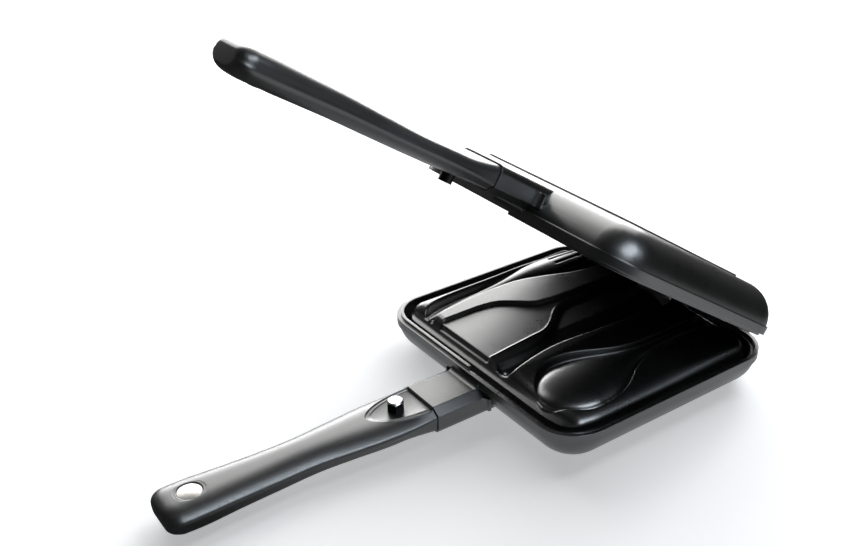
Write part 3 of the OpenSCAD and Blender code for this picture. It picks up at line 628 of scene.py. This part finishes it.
def relief_plate():
    """Raised block with its moulds: rings round the outside, and a square grid within them."""
    points, size = [], len(plate_ring(0))
    for inset, z in FLANGE_RINGS:
        points.append(np.column_stack([plate_ring(inset, FLANGE_HALF, FLANGE_R), np.full(size, z)]))
    for inset, z in SKIRT_RINGS:
        points.append(np.column_stack([plate_ring(inset), np.full(size, z)]))
    for inset in TOP_INSETS:
        ring = plate_ring(inset)
        points.append(np.column_stack([ring, RIM_Z + relief(ring[:, 0], ring[:, 1])]))
    count = len(points)
    faces = lathe_rings(count, size)

    # Inner grid, whose border takes the corner points together
    nx, ny = SIDE_CELLS
    cx, cy = BLOCK_HALF[0] - BLOCK_R, BLOCK_HALF[1] - BLOCK_R
    gx, gy = np.meshgrid(np.linspace(-cx, cx, nx + 1), np.linspace(-cy, cy, ny + 1),
                         indexing="ij")
    gx, gy = gx.ravel(), gy.ravel()
    start = count * size
    points.append(np.column_stack([gx, gy, RIM_Z + relief(gx, gy)]))

    def at(i, j):
        return start + i * (ny + 1) + j

    for i in range(nx):
        for j in range(ny):
            faces.append((at(i, j), at(i + 1, j), at(i + 1, j + 1), at(i, j + 1)))
    border = []
    for corner, cells, step in (((nx, ny), nx, (-1, 0)), ((0, ny), ny, (0, -1)),
                                ((0, 0), nx, (1, 0)), ((nx, 0), ny, (0, 1))):
        border += [at(*corner)] * (CORNER_CELLS + 1)
        border += [at(corner[0] + step[0] * k, corner[1] + step[1] * k) for k in range(1, cells)]
    last = (count - 1) * size
    for k in range(size):
        a, b = last + k, last + (k + 1) % size
        c, d = border[(k + 1) % size], border[k]
        faces.append((a, b, c) if c == d else (a, b, c, d))
    faces.append(tuple(range(size - 1, -1, -1)))
    points = np.concatenate(points)

    # The near left corner is rounder than the others
    reach = np.hypot(points[:, 0] + BLOCK_HALF[0], points[:, 1] + BLOCK_HALF[1]) / PULL_REACH
    pull = CORNER_PULL * smooth(1 - reach) * (points[:, 2] > FLANGE_TOP + 1)
    points[:, 0] += pull
    points[:, 1] += pull
    piece = linked("relief_plate", points, faces)
    piece.data.validate()
    shade_smooth(piece.data)
    dress(piece, PLATE, "lower", "lower_mold_plate")


# ---- grips ----

# Along the grip from neck to end: place, half width, inner face, outer face (below the rim plane)
GRIP_STATIONS = [
    (0, 17.7, 5.2, 19.9), (0.10, 18.3, 5.2, 17.7), (0.20, 18.1, 4.8, 17.2),
    (0.33, 16.4, 4.5, 16.7), (0.46, 14.5, 4.4, 17.4), (0.62, 14.6, 4.4, 18.3),
    (0.76, 15.4, 4.0, 18.5), (0.90, 16.4, 3.6, 18.5), (1, 16.0, 3.8, 18.0)]
# Length of the round end, and what the grip loses there on each side, above and below
END_ROUND, END_LOSS_W, END_LOSS_H, END_LOSS_FALL = 8.0, 7.0, 3.5, 0.45
# Fall of the crowned inner face towards its edges, and how square its profile is
CROWN_FALL = [(0, 3.7), (0.12, 4.0), (0.5, 4.4), (1, 4.0)]
CROWN_POWER = [(0, 3.4), (0.2, 3.0), (0.5, 2.7), (0.8, 3.2), (1, 3.6)]
# The neck's bevel shows up to BEVEL_END, on the part of the face past BEVEL_FROM
BEVEL_FROM, BEVEL_END = 0.706, 0.10
LEDGE_R = [(0, 1.2), (0.1, 2.4), (0.5, 3.0), (1, 3.2)]
OUTER_CORNER = [(0, 4.0), (0.15, 5.0), (0.5, 6.0), (1, 6.0)]
OUTER_CORNER_SHARE = 0.8
SIDE_DRAFT = 0.5
FACE_STEPS, LEDGE_STEPS, WALL_STEPS, CORNER_STEPS, BACK_STEPS = 40, 6, 4, 8, 8
# Places of the rings: close to the neck, along the body, and round the end by angle
NECK_PLACES = [0, 0.0012, 0.003]
GRIP_RINGS = 150
END_ANGLES = range(6, 90, 6)
LAST_PLACE = 1 - 1e-5
GRIP_SHARP = 38.0
LEAF_POINTS, LEAF_TIP_INSET, LEAF_POWER = 60, 1.3, 0.55
# Where the leaf's tools start inside the grip and end clear of it
TOOL_LOW, TOOL_MID, TOOL_TOP = 14.0, 21.0, 26.0
# The end screw's seat as (radius past the seat's, height above its face)
SEAT_PROFILE = [(-0.1, 0), (0, 0.1), (0, 0.9), (0.25, 1.1), (0.9, 1.2), (1.5, 1.1), (1.8, 1.3),
                (2.0, 1.9), (2.2, 4.0)]
SHANK_FROM, SHANK_TO = 12.0, 25.0
SEAT_POINTS, SHANK_POINTS = 72, 32


def grip_section(u):
    """Closed outline (y, z) across the grip at place u, from 0 at the neck to 1 at the end."""
    half_w, inner, outer = (float(through([(s[0], s[k]) for s in GRIP_STATIONS], u))
                            for k in (1, 2, 3))
    left = (1 - u) * GRIP_LEN
    shrink = 0.0 if left >= END_ROUND else 1 - math.sqrt(1 - (1 - left / END_ROUND) ** 2)
    w = half_w - END_LOSS_W * shrink
    top = RIM_Z - inner - END_LOSS_H * shrink
    low = RIM_Z - outer + END_LOSS_H * shrink

    # Inner face: bevelled at the neck, and crowned from there on
    fall = float(through(CROWN_FALL, u)) * (1 - END_LOSS_FALL * shrink)
    power = float(through(CROWN_POWER, u))
    square = 1 - float(smooth(u / BEVEL_END))
    tilt = math.atan(fall * (square / (1 - BEVEL_FROM) + (1 - square) * power) / w)
    ledge_r = float(through(LEDGE_R, u))
    run = w - ledge_r * (1 - math.sin(tilt))
    face = []
    for s in np.cos(np.linspace(0, math.pi, FACE_STEPS + 1)):
        bevel = max(0.0, (abs(s) - BEVEL_FROM) / (1 - BEVEL_FROM))
        face.append((s * run, top - fall * (square * bevel + (1 - square) * abs(s) ** power)))

    # One side: round edge, drafted wall and outer corner
    centre_z = top - fall - ledge_r * math.cos(tilt)
    side = []
    for k in range(1, LEDGE_STEPS + 1):
        a = tilt + (math.pi / 2 - tilt) * k / LEDGE_STEPS
        side.append((w - ledge_r + ledge_r * math.sin(a), centre_z + ledge_r * math.cos(a)))
    r = min(float(through(OUTER_CORNER, u)), (centre_z - low) * OUTER_CORNER_SHARE)
    for k in range(1, WALL_STEPS):
        side.append((w - SIDE_DRAFT * k / WALL_STEPS,
                     centre_z + (low + r - centre_z) * k / WALL_STEPS))
    for k in range(CORNER_STEPS + 1):
        a = math.pi / 2 * k / CORNER_STEPS
        side.append((w - SIDE_DRAFT - r + r * math.cos(a), low + r - r * math.sin(a)))
    other_side = [(-y, z) for y, z in side]
    back = [(t * (w - SIDE_DRAFT - r), low) for t in np.linspace(-1, 1, BACK_STEPS + 1)[1:-1]]
    return face + other_side + back + side[::-1]


def grip_ring(u):
    """Points of one ring, going round once."""
    return [(GRIP_START - u * GRIP_LEN, y, z) for y, z in grip_section(u)]


def grip_places():
    """Places of the rings along the grip."""
    straight = 1 - END_ROUND / GRIP_LEN
    body = [straight * k / GRIP_RINGS for k in range(1, GRIP_RINGS + 1)]
    end = [1 - (1 - straight) * (1 - math.sin(math.radians(a))) for a in END_ANGLES]
    return NECK_PLACES + body + end + [LAST_PLACE]


def leaf_outline(inset):
    """Round-tipped outline of the recess round the catch, from its tip to the neck."""
    length, half_w = LEAF_LEN - LEAF_TIP_INSET * inset, LEAF_HALF_W - inset
    side = []
    for k in range(LEAF_POINTS + 1):
        turn = 1 - math.cos(math.pi / 2 * k / LEAF_POINTS)
        t = 1 - (1 - LEAF_END_GAP / length) * turn
        side.append((GRIP_START - length * t, half_w * (1 - t * t) ** LEAF_POWER))
    return [(x, -y) for x, y in side] + side[:0:-1]


def loft_tool(name, rings):
    """Closed solid through rings of points with equal counts, as a tool for cutting."""
    size = len(rings[0])
    faces = lathe_rings(len(rings), size)
    faces.append(tuple(range(size - 1, -1, -1)))
    faces.append(tuple((len(rings) - 1) * size + k for k in range(size)))
    return linked(name, np.concatenate(rings), faces)


def leaf_tool(name, levels):
    """Leaf shaped tool from (inset, height, sag) levels, tilted and crowned like the grip."""
    rings = []
    for inset, z, sag in levels:
        rings.append(np.array([
            (x, y, z + LEAF_TILT * (GRIP_START - x) - sag * (y / LEAF_HALF_W) ** 2)
            for x, y in leaf_outline(inset)]))
    return loft_tool(name, rings)


def leaf_ridge():
    """Low pad whose edge stands out of the falling crown as a fine ridge."""
    top, sag = LEAF_TOP, LEAF_SAG
    return leaf_tool("ridge_tool", [
        (0.1, TOOL_LOW, 0), (0.0, top - 0.5, sag), (0.08, top - 0.2, sag), (0.28, top - 0.05, sag),
        (0.6, top, sag), (LEAF_RIDGE_W + 0.6, top, sag), (LEAF_RIDGE_W + 1.2, top - 1.6, 0)])


def leaf_cutter():
    """Two steps with soft sides inside the ridge."""
    low, step, top, sag = LEAF_FLOOR, LEAF_FLOOR + LEAF_STEP_H, LEAF_TOP, LEAF_SAG
    outer, inner = LEAF_RIDGE_W + LEAF_STEP_W, LEAF_RIDGE_W
    return leaf_tool("leaf_tool", [
        (outer + 0.5, low, 0), (outer + 0.2, low + 0.1, 0), (outer, low + 0.3, sag / 4),
        (outer - 0.1, step - 0.2, sag / 2), (outer - 0.35, step, sag / 2),
        (inner + 0.45, step + 0.05, sag), (inner + 0.15, step + 0.25, sag),
        (inner, top - 0.15, sag), (inner - 0.2, top + 0.02, sag),
        (inner - 0.3, TOOL_MID, 0), (inner - 0.3, TOOL_TOP, 0)])


def turned_tool(name, x, profile, count):
    """Round tool about a vertical axis at x, from (radius, height) pairs going up."""
    rings = []
    for r, z in profile:
        rings.append(np.array([(x + r * math.cos(2 * math.pi * k / count),
                                r * math.sin(2 * math.pi * k / count), z)
                               for k in range(count)]))
    return loft_tool(name, rings)


def end_seat_cutter():
    """Stepped seat round the end screw's head."""
    seat = END_SCREW_R + HEAD_GAP
    profile = [(seat + out, END_FACE + up) for out, up in SEAT_PROFILE]
    return turned_tool("seat_tool", END_SCREW_X, profile, SEAT_POINTS)


def shank_cutter():
    """Hole for the catch screw's shank."""
    r = SHANK_R + SHANK_GAP
    return turned_tool("shank_tool", CATCH_X, [(r, SHANK_FROM), (r, SHANK_TO)], SHANK_POINTS)


def cut(piece, tool, operation="DIFFERENCE"):
    """Applies a tool to a piece and deletes the tool."""
    modifier = piece.modifiers.new("cut", "BOOLEAN")
    modifier.operation = operation
    modifier.solver = "EXACT"
    modifier.object = tool
    evaluated = piece.evaluated_get(bpy.context.evaluated_depsgraph_get())
    mesh = bpy.data.meshes.new_from_object(evaluated)
    piece.modifiers.clear()
    piece.data = mesh
    bpy.data.objects.remove(tool)


def grip(half):
    """Lofted grip of one half, with the recess round the catch and the end screw's seat."""
    rings = [grip_ring(u) for u in grip_places()]
    size = len(rings[0])
    faces = [face[::-1] for face in lathe_rings(len(rings), size)]
    faces.append(tuple(range(size)))
    faces.append(tuple((len(rings) - 1) * size + k for k in range(size - 1, -1, -1)))
    piece = linked(half + "_grip_shell", np.concatenate(rings), faces)
    cut(piece, leaf_ridge(), "UNION")
    for tool in (leaf_cutter(), end_seat_cutter(), shank_cutter()):
        cut(piece, tool)
    mesh = piece.data
    shade_smooth(mesh)
    mesh.set_sharp_from_angle(angle=math.radians(GRIP_SHARP))
    if half == "upper":
        co = np.array([v.co for v in mesh.vertices]) / MM
        mesh.vertices.foreach_set("co", (upper_half(co) * MM).ravel())
        mesh.update()
    dress(piece, GRIP, half, half + "_grip")


# ---- floor, light and camera ----

FLOOR_HALF, FLOOR_DROP = 4000.0, 0.2
FLOOR_DARK, FLOOR_LIGHT = (0.87, 0.88, 0.90), (0.90, 0.905, 0.915)
# Glow that the camera alone sees, and where in metres it rises to full white
FLOOR_GLOW, GLOW_RISE, GLOW_COLOUR = 0.42, (0.45, 1.1), (0.97, 0.985, 1.0)
# The table in reflections: (azimuth, (last of it, first of the room)) in metres, and levels
TABLE_EDGES = ((20, (0.03, 0.15)), (150, (0.10, 0.20)))
TABLE_LEVEL, TABLE_SHARE, TABLE_COLOUR = 1.0, 0.5, (0.95, 0.975, 1.0)
ROOM_LEVEL, ROOM_COLOUR = 0.03, (1, 1, 1)
# The world's light, from dim in front to less dim at the back
STUDIO_BACK, STUDIO_LEVELS, STUDIO_RISE = 60, (0.035, 0.20), (0.2, 0.9)
STUDIO_COLOUR = (0.985, 0.99, 1.0)
# Lamps: name, azimuth, elevation, distance and size in metres, radiance, colour, then whether
# it shows in reflections and whether it lights the surfaces
SOFTBOXES = [
    ("back_softbox", 60, 35, 1.6, (2.5, 1.15), 3.2, (1.0, 1.0, 0.985), True, True),
    ("horizon_softbox", 58, 9, 1.9, (2.5, 0.6), 9.0, (1.0, 1.0, 1.0), True, False),
    ("key_softbox", -82, 51, 1.1, (0.72, 0.46), 7.0, (0.82, 0.91, 1.0), True, False),
    ("fill_softbox", 5, 52, 1.4, (1.0, 1.0), 4.0, (0.96, 0.98, 1.0), False, True),
]
# Camera fitted to the photograph: its place in millimetres, angles in degrees, lens in pixels
FRAME_PX = (864, 546)
CAMERA_PLACE = (-366.7, -404.0, 352.2)
CAMERA_AZIMUTH, CAMERA_ELEVATION, CAMERA_ROLL = 55.75, 30.88, -1.56
FOCAL_PX, SHIFT_PX = 1039.6, (15, 50)
SENSOR_MM, CLIP_START = 36, 0.01


def floor():
    """White floor that keeps its shadow. In reflections it ends past the front of the table."""
    h = FLOOR_HALF
    piece = linked("floor", [(-h, -h, 0), (h, -h, 0), (h, h, 0), (-h, h, 0)], [(0, 1, 2, 3)])
    piece.location.z = -FLOOR_DROP * MM
    m = Material("pale_floor", Roughness=0.9)
    m.mottle(900, 2, FLOOR_DARK, FLOOR_LIGHT)
    paper = m.shader.outputs[0]
    path = m.add("ShaderNodeLightPath")

    # A little glow for the camera lifts the paper to white, and more of it far from the iron
    away = m.add("ShaderNodeVectorMath", operation="LENGTH")
    m.join(m.place, away, 0)
    level = m.spread(away.outputs["Value"], FLOOR_GLOW, 1.0, *GLOW_RISE)
    glow = m.glow(1.0, GLOW_COLOUR)
    m.join(m.maths("MULTIPLY", path.outputs["Is Camera Ray"], level), glow, "Strength")
    both = m.add("ShaderNodeAddShader")
    m.join(paper, both, 0)
    m.join(glow.outputs[0], both, 1)

    # Reflections show a plain bright table, with the dark room past two of its sides
    first, second = (m.spread(m.along(m.place, azimuth), 0.0, 1.0, *edge)
                     for azimuth, edge in TABLE_EDGES)
    lit = m.mixed(TABLE_SHARE, paper, m.glow(TABLE_LEVEL, TABLE_COLOUR).outputs[0])
    room = m.glow(ROOM_LEVEL, ROOM_COLOUR).outputs[0]
    seen = m.mixed(m.maths("MAXIMUM", first, second), lit, room)
    shown = m.mixed(path.outputs["Is Glossy Ray"], both.outputs[0], seen)
    m.join(shown, m.tree.nodes["Material Output"], "Surface")
    piece.data.materials.append(m.material)


def world():
    """White to the camera, and a dim studio for everything else, less dim along the back."""
    studio = bpy.data.worlds.new("studio")
    bpy.context.scene.world = studio
    studio.use_nodes = True
    n = Nodes(studio.node_tree)
    way = n.add("ShaderNodeTexCoord").outputs["Generated"]
    dim = n.spread(n.along(way, STUDIO_BACK), *STUDIO_LEVELS, *STUDIO_RISE, kind="SMOOTHSTEP")
    strength = n.add("ShaderNodeMix")
    n.join(n.add("ShaderNodeLightPath").outputs["Is Camera Ray"], strength, 0)
    n.join(dim, strength, 2)
    strength.inputs[3].default_value = 1.0
    back = n.tree.nodes["Background"]
    n.join(strength.outputs[0], back, "Strength")
    back.inputs["Color"].default_value = (*STUDIO_COLOUR, 1)


def view_way(azimuth, elevation):
    """Direction at an azimuth and an elevation in degrees."""
    a, e = math.radians(azimuth), math.radians(elevation)
    return Vector((math.cos(a) * math.cos(e), math.sin(a) * math.cos(e), math.sin(e)))


def softbox(name, azimuth, elevation, distance, size, radiance, colour, mirrored, lights):
    """Rectangular lamp that faces the object and shows with the given radiance."""
    lamp = bpy.data.lights.new(name, "AREA")
    lamp.shape = "RECTANGLE"
    lamp.size, lamp.size_y = size
    lamp.energy = radiance * math.pi * size[0] * size[1]
    lamp.color = colour
    obj = bpy.data.objects.new(name, lamp)
    way = view_way(azimuth, elevation)
    obj.location = way * distance
    obj.rotation_euler = way.to_track_quat("Z", "Y").to_euler()
    obj.visible_camera = False
    obj.visible_glossy = mirrored
    obj.visible_diffuse = lights
    bpy.context.scene.collection.objects.link(obj)


def camera():
    """Camera with the photograph's view and frame."""
    look = view_way(CAMERA_AZIMUTH, -CAMERA_ELEVATION)
    right = Vector(level_way(CAMERA_AZIMUTH - 90))
    up = right.cross(look)
    roll = math.radians(CAMERA_ROLL)
    right, up = (right * math.cos(roll) + up * math.sin(roll),
                 up * math.cos(roll) - right * math.sin(roll))
    data = bpy.data.cameras.new("camera")
    data.sensor_width = SENSOR_MM
    data.lens = FOCAL_PX / FRAME_PX[0] * SENSOR_MM
    data.shift_x = -SHIFT_PX[0] / FRAME_PX[0]
    data.shift_y = SHIFT_PX[1] / FRAME_PX[0]
    data.clip_start = CLIP_START
    obj = bpy.data.objects.new("camera", data)
    turn = Matrix((right, up, -look)).transposed().to_4x4()
    obj.matrix_world = Matrix.Translation(Vector(CAMERA_PLACE) * MM) @ turn
    bpy.context.scene.collection.objects.link(obj)
    bpy.context.scene.camera = obj


finish_nodes()
camera()
relief_plate()
grip("lower")
grip("upper")
floor()
world()
for box in SOFTBOXES:
    softbox(*box)
bpy.context.scene.view_settings.view_transform = "Standard"
